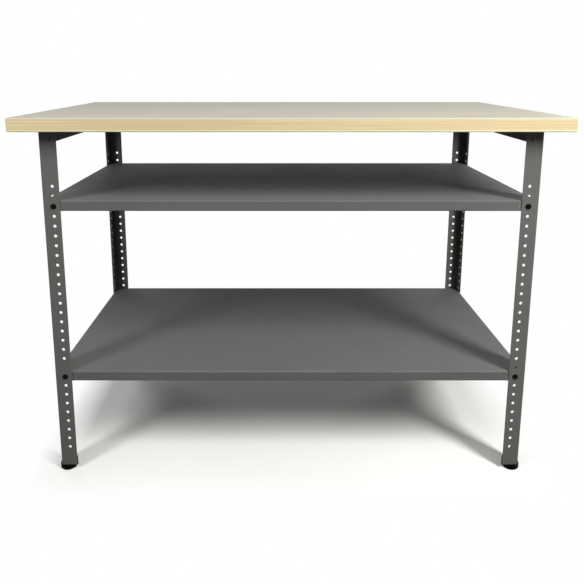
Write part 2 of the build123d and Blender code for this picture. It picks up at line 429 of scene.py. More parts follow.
@dataclass(frozen=True)
class Drift:
    """Slow change of a finish's tone, with a fine fleck in it.

    Attributes:
        dark: Share of the main colour at one end of the change.
        pale: Share of the main colour at its other end.
        patches: Waves of the change per metre.
        flecks: Flecks per metre.
        fleck_share: How strongly the flecks show.
    """

    dark: float
    pale: float
    patches: float
    flecks: float
    fleck_share: float


@dataclass(frozen=True)
class Sheen:
    """Soft change of a finish's roughness, around its own.

    Attributes:
        fall: How far the roughness falls.
        rise: How far it rises.
        waves: Waves of the change per metre, where it follows a noise of its own.
        detail: Number of finer layers in that noise.
    """

    fall: float
    rise: float
    waves: float = 0.0
    detail: float = 0.0


@dataclass(frozen=True)
class Relief:
    """Fine relief of a finish's skin.

    Attributes:
        waves: Waves per metre.
        grain: Finer waves per metre.
        grain_share: Weight of the finer waves.
        depth: Height of the relief in metres.
    """

    waves: float
    grain: float
    grain_share: float
    depth: float


@dataclass(frozen=True)
class Finish:
    """A surface finish of the table.

    Attributes:
        name: The material's name.
        slot: The record's material slot that it dresses.
        tone: Main colour, linear.
        roughness: How matt it is, from 0 to 1.
        gloss: How strongly it mirrors, 0.5 for plain plastic or lacquer.
        drift: How its tone changes over the surface.
        sheen: How its roughness changes over the surface.
        relief: The relief of its skin.
    """

    name: str
    slot: str
    tone: Colour
    roughness: float
    gloss: float = 0.5
    drift: ClassVar[Drift]
    sheen: ClassVar[Sheen]
    relief: ClassVar[Relief]

    def shaded(self, share: float) -> Colour:
        """The main colour, lighter or darker by a share."""
        return tuple(channel * share for channel in self.tone)

    def make(self, effects: Effects) -> bpy.types.Material:
        """Builds the material.

        Args:
            effects: The shared node groups.

        Returns:
            The material, with its nodes.
        """
        material, graph, shader = new_material(self.name, self.roughness, self.gloss)
        self.dress(graph, shader.inputs, effects)
        return material

    def dress(self, graph: Graph, shader: Sockets, effects: Effects) -> None:
        """Feeds colour, roughness and relief; a kind with more to it has its own way.

        Args:
            graph: The material's graph.
            shader: The shader's inputs.
            effects: The shared node groups.
        """
        graph.feed(shader["Base Color"], self.toned(graph, effects))
        graph.feed(shader["Roughness"], self.matted(graph, self.glints(graph)))
        graph.feed(shader["Normal"], self.raised(graph, effects))

    def toned(self, graph: Graph, effects: Effects) -> Socket:
        """The main colour with its slow change and its flecks.

        Args:
            graph: The material's graph.
            effects: The shared node groups.

        Returns:
            The colour.
        """
        return graph.effect(
            effects.drift,
            Tone=self.shaded(self.drift.dark),
            Other_tone=self.shaded(self.drift.pale),
            Patches=self.drift.patches,
            Flecks=self.drift.flecks,
            Fleck_share=self.drift.fleck_share,
        )

    def glints(self, graph: Graph) -> Socket:
        """Noise that the roughness follows."""
        return graph.noise(graph.place(), self.sheen.waves, self.sheen.detail)

    def matted(self, graph: Graph, noise: Socket) -> Socket:
        """Roughness that follows a noise, a little under and over the finish's own."""
        low, high = self.roughness - self.sheen.fall, self.roughness + self.sheen.rise
        return graph.remap(noise, NOISE_LOW, NOISE_HIGH, low, high)

    def raised(self, graph: Graph, effects: Effects) -> Socket:
        """The relief of the skin.

        Args:
            graph: The material's graph.
            effects: The shared node groups.

        Returns:
            The normal.
        """
        skin = graph.effect(
            effects.relief,
            Waves=self.relief.waves,
            Grain=self.relief.grain,
            Grain_share=self.relief.grain_share,
        )
        return graph.bump(skin, self.relief.depth)


@dataclass(frozen=True)
class WornAndHighlitFinish(Finish):
    """A finish with lighter edges, partly worn and partly a painted highlight, and dusty where it
    faces up.

    Attributes:
        wear_and_highlight_width: How far the lighter edge, wear and painted highlight, reaches from
            an edge.
        wear_and_highlight_breaks: Breaks along a lighter edge per metre.
        wear_and_highlight_amount: How strongly the lighter edge shows.
        wear_and_highlight_shade: Share of the main colour on a lighter edge.
        dust: How strongly dust shows, 0 for none.
        dust_clouds: Clouds of dust per metre.
        dust_tone: Colour of the dust.
        dust_matt: What full dust adds to the roughness.
    """

    wear_and_highlight_width: float = 1.2 * MM
    wear_and_highlight_breaks: float = 35.0
    wear_and_highlight_amount: float = 0.35
    wear_and_highlight_shade: float = 1.9
    dust: float = 0.03
    dust_clouds: float = 9.0
    dust_tone: Colour = (0.34, 0.33, 0.3)
    dust_matt: float = 0.6

    def wear_and_highlight_tone(self) -> Colour:
        """Colour of a lighter edge: wear, and a painted highlight."""
        return self.shaded(self.wear_and_highlight_shade)

    def dress(self, graph: Graph, shader: Sockets, effects: Effects) -> None:
        """Feeds colour, roughness and relief, with the lighter edges and the dust.

        Args:
            graph: The material's graph.
            shader: The shader's inputs.
            effects: The shared node groups.
        """
        # Lighter edges: partly wear, partly a painted highlight along them.
        worn_and_highlit = graph.effect(
            effects.wear, Width=self.wear_and_highlight_width, Breaks=self.wear_and_highlight_breaks, Amount=self.wear_and_highlight_amount
        )
        tone = graph.blend(worn_and_highlit, self.toned(graph, effects), self.wear_and_highlight_tone())
        matt = self.matted(graph, self.glints(graph))
        if self.dust:
            settled = graph.effect(effects.dust, Clouds=self.dust_clouds, Amount=self.dust)
            tone = graph.blend(settled, tone, self.dust_tone)
            matt = graph.calc("ADD", matt, graph.calc("MULTIPLY", settled, self.dust_matt))
        graph.feed(shader["Base Color"], tone)
        graph.feed(shader["Roughness"], matt)
        graph.feed(shader["Normal"], self.raised(graph, effects))


@dataclass(frozen=True)
class PowderCoat(WornAndHighlitFinish):
    """Satin powder coat on sheet steel, with a faint orange peel."""

    drift = Drift(dark=0.95, pale=1.05, patches=3.0, flecks=1500.0, fleck_share=0.7)
    sheen = Sheen(fall=0.04, rise=0.05, waves=40.0, detail=4.0)
    relief = Relief(waves=420.0, grain=1900.0, grain_share=0.35, depth=0.04 * MM)


@dataclass(frozen=True)
class MouldedPlastic(WornAndHighlitFinish):
    """Black moulded plastic with a fine eroded skin."""

    wear_and_highlight_width: float = 0.8 * MM
    wear_and_highlight_breaks: float = 120.0
    wear_and_highlight_amount: float = 0.25
    wear_and_highlight_shade: float = 3.5
    dust_clouds: float = 60.0
    dust_tone: Colour = (0.2, 0.19, 0.17)
    dust_matt: float = 0.0
    drift = Drift(dark=0.8, pale=1.3, patches=60.0, flecks=2200.0, fleck_share=0.6)
    sheen = Sheen(fall=0.06, rise=0.08, waves=250.0, detail=3.0)
    relief = Relief(waves=1600.0, grain=4000.0, grain_share=0.6, depth=0.03 * MM)


@dataclass(frozen=True)
class Plated(WornAndHighlitFinish):
    """Plated or blackened steel of the small fasteners, with fine forging marks."""

    wear_and_highlight_width: float = 0.5 * MM
    wear_and_highlight_breaks: float = 300.0
    wear_and_highlight_amount: float = 0.3
    dust: float = 0.0
    metallic: float = 1.0
    bare_tone: Colour = (0.45, 0.45, 0.46)
    drift = Drift(dark=0.85, pale=1.12, patches=180.0, flecks=2500.0, fleck_share=0.5)
    sheen = Sheen(fall=0.08, rise=0.1, waves=500.0, detail=3.0)
    relief = Relief(waves=900.0, grain=3500.0, grain_share=0.4, depth=0.02 * MM)

    def wear_and_highlight_tone(self) -> Colour:
        """The metal under the plating."""
        return self.bare_tone

    def dress(self, graph: Graph, shader: Sockets, effects: Effects) -> None:
        """Sets how metallic it is, and feeds the rest."""
        shader["Metallic"].default_value = self.metallic
        super().dress(graph, shader, effects)


@dataclass(frozen=True)
class Laminate(Finish):
    """Pale work laminate with a pearled skin and faint wiping marks."""

    wipes: Point = (1.5, 9.0, 1.0)
    drift = Drift(dark=0.97, pale=1.03, patches=2.0, flecks=900.0, fleck_share=0.9)
    sheen = Sheen(fall=0.05, rise=0.06, waves=3.0, detail=5.0)
    relief = Relief(waves=700.0, grain=2400.0, grain_share=0.5, depth=0.03 * MM)

    def glints(self, graph: Graph) -> Socket:
        """Noise drawn out along the table, as wiping leaves it."""
        place = graph.vector("MULTIPLY", graph.place(), self.wipes)[0]
        return graph.noise(place, self.sheen.waves, self.sheen.detail)


@dataclass(frozen=True)
class BackingPaper(Finish):
    """Resin-soaked balancing paper under the board, with faint cloudy fibres."""

    drift = Drift(dark=0.88, pale=1.1, patches=14.0, flecks=500.0, fleck_share=1.2)
    sheen = Sheen(fall=0.06, rise=0.08, waves=25.0, detail=4.0)
    relief = Relief(waves=300.0, grain=1500.0, grain_share=0.6, depth=0.04 * MM)


@dataclass(frozen=True)
class Chipboard(Finish):
    """Pressed wood chips, seen only inside the screw holes."""

    chips: float = 450.0
    flatness: Point = (1.0, 1.0, 3.0)
    dark: float = 0.6
    pale: float = 1.25
    depth: float = 0.2 * MM

    def dress(self, graph: Graph, shader: Sockets, effects: Effects) -> None:
        """Feeds colour and relief of the chips.

        Args:
            graph: The material's graph.
            shader: The shader's inputs.
            effects: The shared node groups, which raw chips don't need.
        """
        cells = graph.node("ShaderNodeTexVoronoi")
        place = graph.vector("MULTIPLY", graph.place(), self.flatness)[0]
        graph.feed(cells.inputs["Vector"], place)
        graph.feed(cells.inputs["Scale"], self.chips)
        shade = graph.split(cells.outputs["Color"])[0]
        tone = graph.blend(shade, self.shaded(self.dark), self.shaded(self.pale))
        graph.feed(shader["Base Color"], tone)
        graph.feed(shader["Normal"], graph.bump(cells.outputs["Distance"], self.depth))


@dataclass(frozen=True)
class Lines:
    """One kind of line in a wood print.

    Attributes:
        tone: Colour of the lines.
        length: Length of a line in metres.
        fineness: Lines per metre, across them.
        wander: How far a line strays, in metres.
        start: Noise at which a line begins to show.
        full: Noise from which it shows fully.
        share: How strongly it shows then.
    """

    tone: Colour
    length: float
    fineness: float
    wander: float
    start: float
    full: float
    share: float


PINE_LINE: Colour = (0.57, 0.43, 0.2)
PINE_FLUSH: Colour = (0.68, 0.51, 0.35)


@dataclass(frozen=True)
class WoodBand(Finish):
    """Printed pine band, darker on its upper rounded corner as painted shade, paler on its lower
    one.

    Attributes:
        upper_painted_shade_tone: Colour of the upper rounded corner, darker than the band as
            painted shade against the light it catches.
        lower_milled_painted_light_tone: Colour of the lower rounded corner, paler partly as a
            milled edge and partly as painted light against its shade.
        upper_mill: Height from which the upper corner is milled.
        lower_mill: Height from which the lower one is, downwards.
        mill_blur: Height over which the corners' colours set in.
        depth: Height of the print's relief.
    """

    upper_painted_shade_tone: Colour = (0.59, 0.51, 0.35)
    lower_milled_painted_light_tone: Colour = (0.83, 0.79, 0.57)
    upper_mill: float = 847.2 * MM
    lower_mill: float = 824.2 * MM
    mill_blur: float = 0.5 * MM
    depth: float = 0.03 * MM
    drift = Drift(dark=0.94, pale=1.06, patches=5.0, flecks=800.0, fleck_share=0.3)
    sheen = Sheen(fall=0.05, rise=0.08)
    rings: ClassVar[Lines] = Lines(
        PINE_LINE, length=0.7, fineness=430.0, wander=1.2 * MM, start=0.4, full=0.62, share=0.66
    )
    hairs: ClassVar[Lines] = Lines(
        PINE_LINE, length=0.25, fineness=900.0, wander=0.8 * MM, start=0.46, full=0.64, share=0.42
    )
    flush: ClassVar[Lines] = Lines(
        PINE_FLUSH, length=0.16, fineness=260.0, wander=2.0 * MM, start=0.46, full=0.66, share=0.5
    )

    def dress(self, graph: Graph, shader: Sockets, effects: Effects) -> None:
        """Feeds colour, roughness and relief of the band; the last two follow its fine hairs.

        Args:
            graph: The material's graph.
            shader: The shader's inputs.
            effects: The shared node groups.
        """
        tone = self.toned(graph, effects)
        fibres: Dict[Lines, Socket] = {}
        for lines in (self.rings, self.hairs, self.flush):
            fibres[lines] = graph.effect(
                effects.fibres, Length=lines.length, Fineness=lines.fineness, Wander=lines.wander
            )
            mask = graph.remap(fibres[lines], lines.start, lines.full, 0.0, lines.share)
            tone = graph.blend(mask, tone, lines.tone)
        # Painted shade darkens the upper rounded corner; the lower one is paler, partly as a milled
        # edge and partly as painted light against the shade under it.
        height = graph.split(graph.place())[2]
        above = graph.remap(height, self.upper_mill, self.upper_mill + self.mill_blur)
        below = graph.remap(height, self.lower_mill, self.lower_mill - self.mill_blur)
        topped = graph.blend(above, tone, self.upper_painted_shade_tone)
        graph.feed(shader["Base Color"], graph.blend(below, topped, self.lower_milled_painted_light_tone))
        graph.feed(shader["Roughness"], self.matted(graph, fibres[self.hairs]))
        graph.feed(shader["Normal"], graph.bump(fibres[self.hairs], self.depth))


NEAR_BLACK: Colour = (0.002, 0.002, 0.002)
FINISHES: Tuple[Finish, ...] = (
    Laminate("pale_laminate", "laminate", (0.415, 0.4, 0.325), roughness=0.5, gloss=0.25),
    Chipboard("chipboard", "board_core", (0.5, 0.36, 0.21), roughness=0.85, gloss=0.3),
    BackingPaper("balancing_paper", "backing", (0.36, 0.29, 0.21), roughness=0.6, gloss=0.3),
    WoodBand("pine_edge_band", "edge_band", (0.75, 0.645, 0.41), roughness=0.5, gloss=0.3),
    PowderCoat("grey_frame_coat", "frame_paint", (0.128, 0.13, 0.122), roughness=0.5, gloss=0.12),
    # The rails' coat is the frame's coat darkened and browned: painted shade under the board, with
    # a brown painted reflection of its underside.
    PowderCoat("painted_shade_rail_coat", "frame_paint", (0.092, 0.082, 0.064), roughness=0.65, gloss=0.03),
    PowderCoat(
        "grey_shelf_coat",
        "shelf_paint",
        (0.127, 0.134, 0.129),
        roughness=0.63,
        gloss=0.1,
        # Wide lighter edges along the shelves' folds: a painted highlight where the bends catch the
        # light, partly wear.
        wear_and_highlight_width=3.0 * MM,
        wear_and_highlight_breaks=6.0,
        wear_and_highlight_amount=0.9,
    ),
    MouldedPlastic("black_foot_plastic", "foot_plastic", NEAR_BLACK, roughness=0.5, gloss=0.02),
    Plated(
        "black_bolt_steel",
        "bolt_black",
        NEAR_BLACK,
        roughness=0.3,
        gloss=0.06,
        metallic=0.0,
        bare_tone=(0.02, 0.02, 0.02),
    ),
    Plated("bright_zinc", "zinc", (0.6, 0.61, 0.63), roughness=0.36),
)


class Wardrobe:
    """All the table's materials by the finish's name."""

    def __init__(self) -> None:
        """Builds every effect and finish."""
        effects = Effects.build()
        self.finishes = {finish.name: finish for finish in FINISHES}
        self.materials = {finish.name: finish.make(effects) for finish in FINISHES}

    def dress(self, piece: bpy.types.Object, name: str) -> None:
        """Gives a piece one finish all over.

        Args:
            piece: The object to dress.
            name: The finish's name.
        """
        piece.data.materials.clear()
        piece.data.materials.append(self.materials[name])


# --- Mesh helpers ------------------------------------------------------------------------------


@dataclass
class Skin:
    """A mesh that is built up from rings of points and single faces."""

    points: List[Point] = field(default_factory=list)
    faces: List[Tuple[int, ...]] = field(default_factory=list)
    merge_distance: ClassVar[float] = 0.000002

    def ring(self, points: Iterable[Point]) -> List[int]:
        """Adds points.

        Args:
            points: The points in order.

        Returns:
            Their numbers.
        """
        start = len(self.points)
        self.points.extend(tuple(point) for point in points)
        return list(range(start, len(self.points)))

    def face(self, points: Iterable[Point]) -> None:
        """Adds one face with points of its own."""
        self.faces.append(tuple(self.ring(points)))

    def bridge(self, first: Sequence[int], second: Sequence[int]) -> None:
        """Joins two closed rings with a band of faces.

        Args:
            first: The first ring's point numbers.
            second: As many numbers of the second ring.
        """
        count = len(first)
        for index in range(count):
            after = (index + 1) % count
            self.faces.append((first[index], first[after], second[after], second[index]))

    @classmethod
    def loft(cls, rings: Sequence[Sequence[Point]], closed: bool = False) -> "Skin":
        """Joins rings one after another.

        Args:
            rings: Rings with the same number of points.
            closed: Whether the last ring joins the first. Otherwise both ends get a face.

        Returns:
            The skin.
        """
        made = cls()
        numbers = [made.ring(ring) for ring in rings]
        for first, second in zip(numbers, numbers[1:]):
            made.bridge(first, second)
        if closed:
            made.bridge(numbers[-1], numbers[0])
        else:
            made.faces.append(tuple(reversed(numbers[0])))
            made.faces.append(tuple(numbers[-1]))
        return made

    def moved(self, places: Iterable[Matrix]) -> "Skin":
        """Copies of this skin at several places, in one skin.

        Args:
            places: A matrix for each copy.

        Returns:
            The skin with all the copies.
        """
        copies = Skin()
        for place in places:
            start = len(copies.points)
            copies.points.extend(tuple(place @ Vector(point)) for point in self.points)
            copies.faces.extend(tuple(number + start for number in face) for face in self.faces)
        return copies

    def build(self, name: str, crease: float = 35.0) -> bpy.types.Object:
        """Makes the object, with smooth shading up to an angle.

        Args:
            name: The piece's name.
            crease: Edges sharper than this, in degrees, stay crisp.

        Returns:
            The object, linked to the scene.
        """
        mesh = bpy.data.meshes.new(name)
        mesh.from_pydata(self.points, [], self.faces)
        work = bmesh.new()
        work.from_mesh(mesh)
        bmesh.ops.remove_doubles(work, verts=work.verts, dist=self.merge_distance)
        bmesh.ops.recalc_face_normals(work, faces=work.faces)
        for part in work.faces:
            part.smooth = True
        limit = math.radians(crease)
        for edge in work.edges:
            edge.smooth = len(edge.link_faces) == 2 and edge.calc_face_angle(0.0) < limit
        work.to_mesh(mesh)
        work.free()
        piece = bpy.data.objects.new(name, mesh)
        bpy.context.scene.collection.objects.link(piece)
        return piece


def outline(
    reach_at: Callable[[float], float], height_at: Callable[[float], float], count: int
) -> List[Point]:
    """A ring of points around the Z axis, at any distance from it.

    Args:
        reach_at: Distance from the axis in a direction, in radians.
        height_at: Z at a distance.
        count: Number of points.

    Returns:
        The points.
    """
    ring = []
    for index in range(count):
        turn = 2 * math.pi * index / count
        reach = reach_at(turn)
        ring.append((reach * math.cos(turn), reach * math.sin(turn), height_at(reach)))
    return ring


def circle(radius: float, height: float, count: int) -> List[Point]:
    """A round ring of points around the Z axis."""
    return outline(lambda turn: radius, lambda reach: height, count)


def hexagon_radius(turn: float, flat: float) -> float:
    """Distance from a hexagon's centre to its edge in one direction.

    Args:
        turn: The direction, in radians.
        flat: Distance from the centre to the middle of a side.

    Returns:
        The distance.
    """
    sector = math.pi / 3
    offset = (turn + sector / 2) % sector - sector / 2
    return flat / math.cos(offset)


def round_edges(
    piece: bpy.types.Object, width: float, crease: float, segments: int = 2
) -> None:
    """Rounds a piece's sharp edges with modifiers, and evens out its shading.

    Args:
        piece: The object.
        width: How far the rounding reaches on each side of an edge.
        crease: Edges sharper than this, in degrees, are rounded.
        segments: Faces across the rounding.
    """
    bevel = piece.modifiers.new("round edges", "BEVEL")
    bevel.width = width
    bevel.segments = segments
    bevel.limit_method = "ANGLE"
    bevel.angle_limit = math.radians(crease)
    piece.modifiers.new("even shading", "WEIGHTED_NORMAL")


# --- Sizes shared by the pieces ----------------------------------------------------------------


@dataclass(frozen=True)
class FrameSizes:
    """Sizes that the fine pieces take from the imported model, and the punching of the angles."""

    corner_x: float
    corner_y: float
    leg_low: float
    leg_top: float
    flange: float
    wall: float = 1.8 * MM
    bend: float = 3.0 * MM
    hole_radius: float = 3.5 * MM
    hole_line: float = 23.0 * MM
    hole_pitch: float = 22.75 * MM
    first_hole_drop: float = 124.0 * MM
    last_hole_rise: float = 40.0 * MM
    top_hole_drop: float = 20.0 * MM
    shelf_sheet: float = 1.0 * MM

    @classmethod
    def measure(cls) -> "FrameSizes":
        """Reads the leg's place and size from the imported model.

        Returns:
            The sizes.
        """
        low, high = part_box("leg_front_left")
        return cls(
            corner_x=-low.x,
            corner_y=-low.y,
            leg_low=low.z,
            leg_top=high.z,
            flange=high.x - low.x,
        )

    def hole_heights(self) -> List[float]:
        """Where a flange is punched.

        Returns:
            The holes' heights, from the row's top down, and the free hole's above it.
        """
        room = self.leg_top - self.leg_low - self.first_hole_drop - self.last_hole_rise
        count = int(room / self.hole_pitch) + 1
        first = self.leg_top - self.first_hole_drop
        row = [first - index * self.hole_pitch for index in range(count)]
        return row + [self.leg_top - self.top_hole_drop]


CORNERS: Tuple[Tuple[int, int, str], ...] = (
    (-1, -1, "front_left"),
    (1, -1, "front_right"),
    (-1, 1, "back_left"),
    (1, 1, "back_right"),
)


# --- Pieces ------------------------------------------------------------------------------------


@dataclass(frozen=True)
class PackedPiece:
    """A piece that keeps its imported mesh, with softened edges where they show.

    Attributes:
        node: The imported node's name.
        finish: The finish's name.
        rounding: How far its edges are softened, 0 for not at all.
        segments: Faces across the rounding.
    """

    node: str
    finish: str
    rounding: float = 0.0
    segments: int = 2
    weld_distance: ClassVar[float] = 0.000005
    flat_angle: ClassVar[float] = 0.3
    sharp_angle: ClassVar[float] = 32.0

    def build(self, nodes: Dict[str, bpy.types.Object], wardrobe: Wardrobe) -> None:
        """Softens and dresses the piece.

        Args:
            nodes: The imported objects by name.
            wardrobe: The table's materials.
        """
        piece = nodes[self.node]
        if self.rounding:
            weld = piece.modifiers.new("weld", "WELD")
            weld.merge_threshold = self.weld_distance
            flatten = piece.modifiers.new("flatten", "DECIMATE")
            flatten.decimate_type = "DISSOLVE"
            flatten.angle_limit = math.radians(self.flat_angle)
            round_edges(piece, self.rounding, self.sharp_angle, self.segments)
        wardrobe.dress(piece, self.finish)
        LOG.info("%s dressed", self.node)


def packed_pieces() -> List[PackedPiece]:
    """Lists the boards, bands, shelves, stiffeners, rails and feet.

    Returns:
        Each piece with its finish and rounding.
    """
    pieces = [
        PackedPiece("worktop_laminate", "pale_laminate"),
        PackedPiece("worktop_core", "chipboard"),
        PackedPiece("worktop_backing", "balancing_paper"),
        PackedPiece("feet", "black_foot_plastic", 0.5 * MM, segments=3),
    ]
    for side in ("front", "back", "left", "right"):
        pieces.append(PackedPiece(f"edge_band_{side}", "pine_edge_band", 0.25 * MM))
    for level in ("upper", "lower"):
        for name in (f"{level}_shelf", f"{level}_shelf_stiffener"):
            pieces.append(PackedPiece(name, "grey_shelf_coat", 0.25 * MM))
    # The rails take a copy of the frame's coat darkened as painted shade.
    for side in ("left", "right"):
        pieces.append(PackedPiece(f"side_rail_{side}", "painted_shade_rail_coat", 0.35 * MM))
    return pieces


Band = Tuple[float, float, Optional[float]]


@dataclass
class PunchedLegs:
    """The four angles, with round holes whose rims are softened by the coat.

    Attributes:
        sizes: The frame's sizes.
        hole_points: Points around a hole.
        first_turn: Where a hole's points start, in turns.
        bend_steps: Faces across the bend.
        rim: Width of a hole's softened rim.
        cell: Half the width of the square cell around a hole.
        edge_rounding: How far the cut edges are softened.
        smooth_angle: Edges sharper than this, in degrees, are shaded crisp.
        sharp_angle: Edges sharper than this, in degrees, are rounded.
    """

    sizes: FrameSizes
    hole_points: int = 24
    first_turn: float = -0.375
    bend_steps: int = 7
    rim: float = 0.3 * MM
    cell: float = 6.5 * MM
    edge_rounding: float = 0.35 * MM
    smooth_angle: float = 50.0
    sharp_angle: float = 60.0

    def build(self, wardrobe: Wardrobe) -> None:
        """Makes one leg for each corner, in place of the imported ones.

        Args:
            wardrobe: The table's materials.
        """
        for side_x, side_y, name in CORNERS:
            leg = self._skin(side_x, side_y).build(f"punched_leg_{name}", self.smooth_angle)
            round_edges(leg, self.edge_rounding, self.sharp_angle)
            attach(leg, "root")
            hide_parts(f"leg_{name}")
            wardrobe.dress(leg, "grey_frame_coat")
            LOG.info("leg %s built", name)

    def _rows(self) -> List[Band]:
        """Cuts the leg into bands, so that each hole gets a cell of its own.

        Returns:
            The bands from bottom to top: low edge, high edge and the hole's height.
        """
        rows: List[Band] = []
        level = self.sizes.leg_low
        for hole in sorted(self.sizes.hole_heights()):
            low = hole - self.cell
            if low > level:
                rows.append((level, low, None))
            rows.append((low, hole + self.cell, hole))
            level = hole + self.cell
        rows.append((level, self.sizes.leg_top, None))
        return rows

    def _skin(self, side_x: int, side_y: int) -> Skin:
        """The leg's whole surface in one corner.

        Args:
            side_x: -1 at the left, 1 at the right.
            side_y: -1 at the front, 1 at the back.

        Returns:
            The surface.
        """
        sizes = self.sizes
        skin = Skin()
        rows = self._rows()
        line = sizes.hole_line
        columns = (sizes.bend, line - self.cell, line + self.cell, sizes.flange)

        def front(along: float, depth: float, z: float) -> Point:
            """A point on the flange that faces the front or back."""
            return (side_x * (sizes.corner_x - along), side_y * (sizes.corner_y - depth), z)

        def flank(along: float, depth: float, z: float) -> Point:
            """A point on the flange that faces left or right."""
            return (side_x * (sizes.corner_x - depth), side_y * (sizes.corner_y - along), z)

        for place in (front, flank):
            for low, high, hole in rows:
                for near, far in zip(columns, columns[1:]):
                    punched = hole is not None and near < line < far
                    cell = ((near, low), (far, low), (far, high), (near, high))
                    for depth in (0.0, sizes.wall):
                        corners = [place(along, depth, z) for along, z in cell]
                        if punched:
                            rim = self._circle(place, self.rim, depth, hole)
                            self._surround(skin, corners, rim)
                        else:
                            skin.face(corners)
                    if punched:
                        self._bore(skin, place, hole)
                edge = ((0.0, low), (sizes.wall, low), (sizes.wall, high), (0.0, high))
                skin.face(place(sizes.flange, depth, z) for depth, z in edge)
            for z in (sizes.leg_low, sizes.leg_top):
                for near, far in zip(columns, columns[1:]):
                    end = ((near, 0.0), (far, 0.0), (far, sizes.wall), (near, sizes.wall))
                    skin.face(place(along, depth, z) for along, depth in end)
        self._fold(skin, side_x, side_y, rows)
        return skin

    def _circle(self, place: Place, wider: float, depth: float, hole: float) -> List[Point]:
        """Points of a hole's circle, starting at the corner nearest the bend and the floor.

        Args:
            place: Maps a flange's own place to a point.
            wider: What is added to the hole's radius.
            depth: Depth in the wall, 0 on its outer face.
            hole: Height of the hole's centre.

        Returns:
            The points.
        """
        radius = self.sizes.hole_radius + wider
        line = self.sizes.hole_line
        points = []
        for index in range(self.hole_points):
            turn = 2 * math.pi * (index / self.hole_points + self.first_turn)
            along = line + radius * math.cos(turn)
            points.append(place(along, depth, hole + radius * math.sin(turn)))
        return points

    def _surround(self, skin: Skin, corners: Sequence[Point], rim: Sequence[Point]) -> None:
        """Four faces that fill a cell around its hole.

        Args:
            skin: The surface that takes the faces.
            corners: The cell's corners.
            rim: The hole's circle.
        """
        quarter = self.hole_points // 4
        for side in range(4):
            arc = [rim[(side * quarter + step) % self.hole_points] for step in range(quarter + 1)]
            skin.face([corners[side], corners[(side + 1) % 4], *reversed(arc)])

    def _bore(self, skin: Skin, place: Place, hole: float) -> None:
        """The wall of a hole, with a softened rim at both faces.

        Args:
            skin: The surface that takes the faces.
            place: Maps a flange's own place to a point.
            hole: Height of the hole's centre.
        """
        wall = self.sizes.wall
        steps = ((self.rim, 0.0), (0.0, self.rim), (0.0, wall - self.rim), (self.rim, wall))
        rings = [skin.ring(self._circle(place, wider, depth, hole)) for wider, depth in steps]
        for first, second in zip(rings, rings[1:]):
            skin.bridge(first, second)

    def _fold(self, skin: Skin, side_x: int, side_y: int, rows: Sequence[Band]) -> None:
        """The rounded bend between the two flanges.

        Args:
            skin: The surface that takes the faces.
            side_x: -1 at the left, 1 at the right.
            side_y: -1 at the front, 1 at the back.
            rows: The leg's bands, so that the bend's faces meet those of the flanges.
        """
        sizes = self.sizes

        def arc(radius: float, z: float) -> List[Point]:
            """Points of the bend at one height.

            Args:
                radius: Radius of the bend's outer or inner face.
                z: The height.

            Returns:
                The points, from the front flange to the side flange.
            """
            points = []
            for step in range(self.bend_steps + 1):
                turn = 0.5 * math.pi * step / self.bend_steps
                x = sizes.corner_x - sizes.bend + radius * math.sin(turn)
                y = sizes.corner_y - sizes.bend + radius * math.cos(turn)
                points.append((side_x * x, side_y * y, z))
            return points

        radii = (sizes.bend, sizes.bend - sizes.wall)
        pairs = [(arc(radius, low), arc(radius, high)) for radius in radii for low, high, _ in rows]
        pairs += [(arc(radii[0], z), arc(radii[1], z)) for z in (sizes.leg_low, sizes.leg_top)]
        for first, second in pairs:
            for step in range(self.bend_steps):
                skin.face((first[step], first[step + 1], second[step + 1], second[step]))


@dataclass
class DomedScrew:
    """A fastener with a domed head on Z = 0 and its shank below.

    Attributes:
        head_radius: Radius of the head.
        head_height: Height of the head.
        rim_height: Height at which the dome meets the head's upright rim.
        crown_radius: Radius of the flat in the middle of the dome.
        foot_inset: How far the head's underside is chamfered in.
        shank_radius: Nominal radius of the shank.
        length: Length of the shank.
        points: Points in each ring.
        dome_steps: Rings of the dome.
        foot_height: Height of the chamfer under the head.
        play: How much thinner than nominal the shank is, in radius.
    """

    head_radius: float
    head_height: float
    rim_height: float
    crown_radius: float
    foot_inset: float
    shank_radius: float
    length: float
    points: int
    dome_steps: int
    foot_height: ClassVar[float] = 0.15 * MM
    play: ClassVar[float] = 0.1 * MM

    def head(self) -> List[List[Point]]:
        """Turns the head's outside.

        Returns:
            Rings from the crown's edge over the dome and under the head to the shank.
        """
        profile = [(self.crown_radius, self.head_height)]
        for step in range(1, self.dome_steps + 1):
            turn = 0.5 * math.pi * step / self.dome_steps
            reach = self.crown_radius + (self.head_radius - self.crown_radius) * math.sin(turn)
            drop = (self.head_height - self.rim_height) * (1 - math.cos(turn))
            profile.append((reach, self.head_height - drop))
        profile.append((self.head_radius, self.foot_height))
        profile.append((self.head_radius - self.foot_inset, 0.0))
        profile.append((self.shank_radius - self.play, 0.0))
        return [circle(radius, height, self.points) for radius, height in profile]


